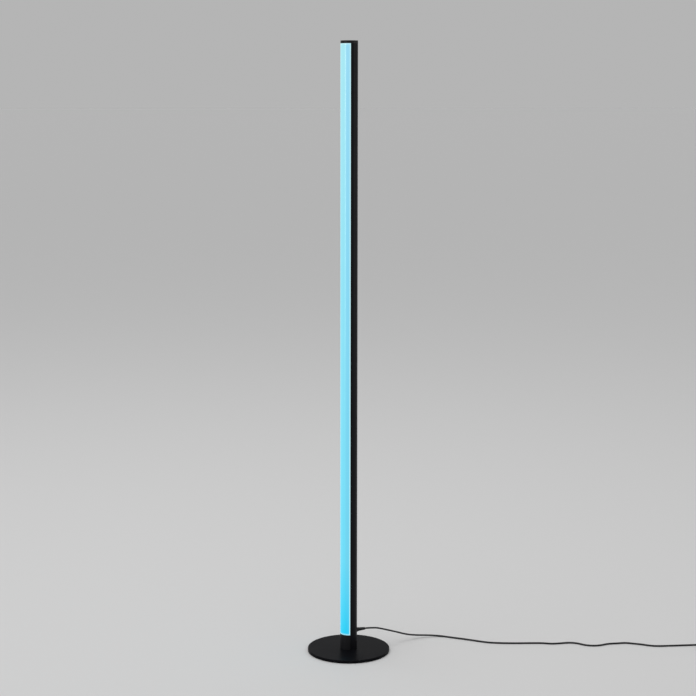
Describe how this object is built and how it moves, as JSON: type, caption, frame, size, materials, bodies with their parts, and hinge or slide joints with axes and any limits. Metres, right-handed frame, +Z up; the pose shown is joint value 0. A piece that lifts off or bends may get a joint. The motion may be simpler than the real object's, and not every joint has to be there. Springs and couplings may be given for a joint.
{
  "type": "corner floor lamp",
  "caption": "Slim round floor lamp: a black profile with a full-height glowing opal diffuser on a round flat foot, with a low-voltage lead and a plug-in adapter.",
  "frame": {"origin": "on the floor, under the centre of the round foot", "axes": "+Z up along the column, -Y the way the diffuser faces, +Y the back where the lead leaves; the lead then runs mostly along +Y"},
  "size_m": [0.4447, 1.0231, 1.4],
  "materials": {
    "foot_steel": "matte",
    "pad_foam": "matte",
    "screw_steel": "satin",
    "block_plastic": "matte",
    "profile_black": "matte",
    "opal_plastic": "satin",
    "strip_white": "satin",
    "chip_glow": "gloss",
    "wire_red": "satin",
    "board_green": "satin",
    "foam_tape": "matte",
    "part_black": "satin",
    "cord_black": "satin",
    "strap_black": "matte",
    "case_black": "satin",
    "pin_metal": "polished"
  },
  "bodies": {
    "root": {"base_plate": "foot_steel", "base_pad": "pad_foam", "base_screws": "screw_steel", "foot_block": "block_plastic", "column_profile": "profile_black", "diffuser": "opal_plastic", "top_cap": "block_plastic", "cap_screws": "screw_steel", "led_strip": "strip_white", "led_chips": "chip_glow", "strip_leads": "wire_red", "control_board": "board_green", "board_pad": "foam_tape", "board_parts": "part_black", "supply_leads": "wire_red", "strain_relief": "cord_black", "cord_inlet": "cord_black", "cord_run": "cord_black", "cord_coil": "cord_black", "coil_tie": "strap_black", "adapter_relief": "cord_black", "adapter_case": "case_black", "adapter_face": "case_black", "adapter_pins": "pin_metal", "pin_sleeves": "case_black", "adapter_board": "board_green", "adapter_parts": "part_black"}
  },
  "joints": []
}
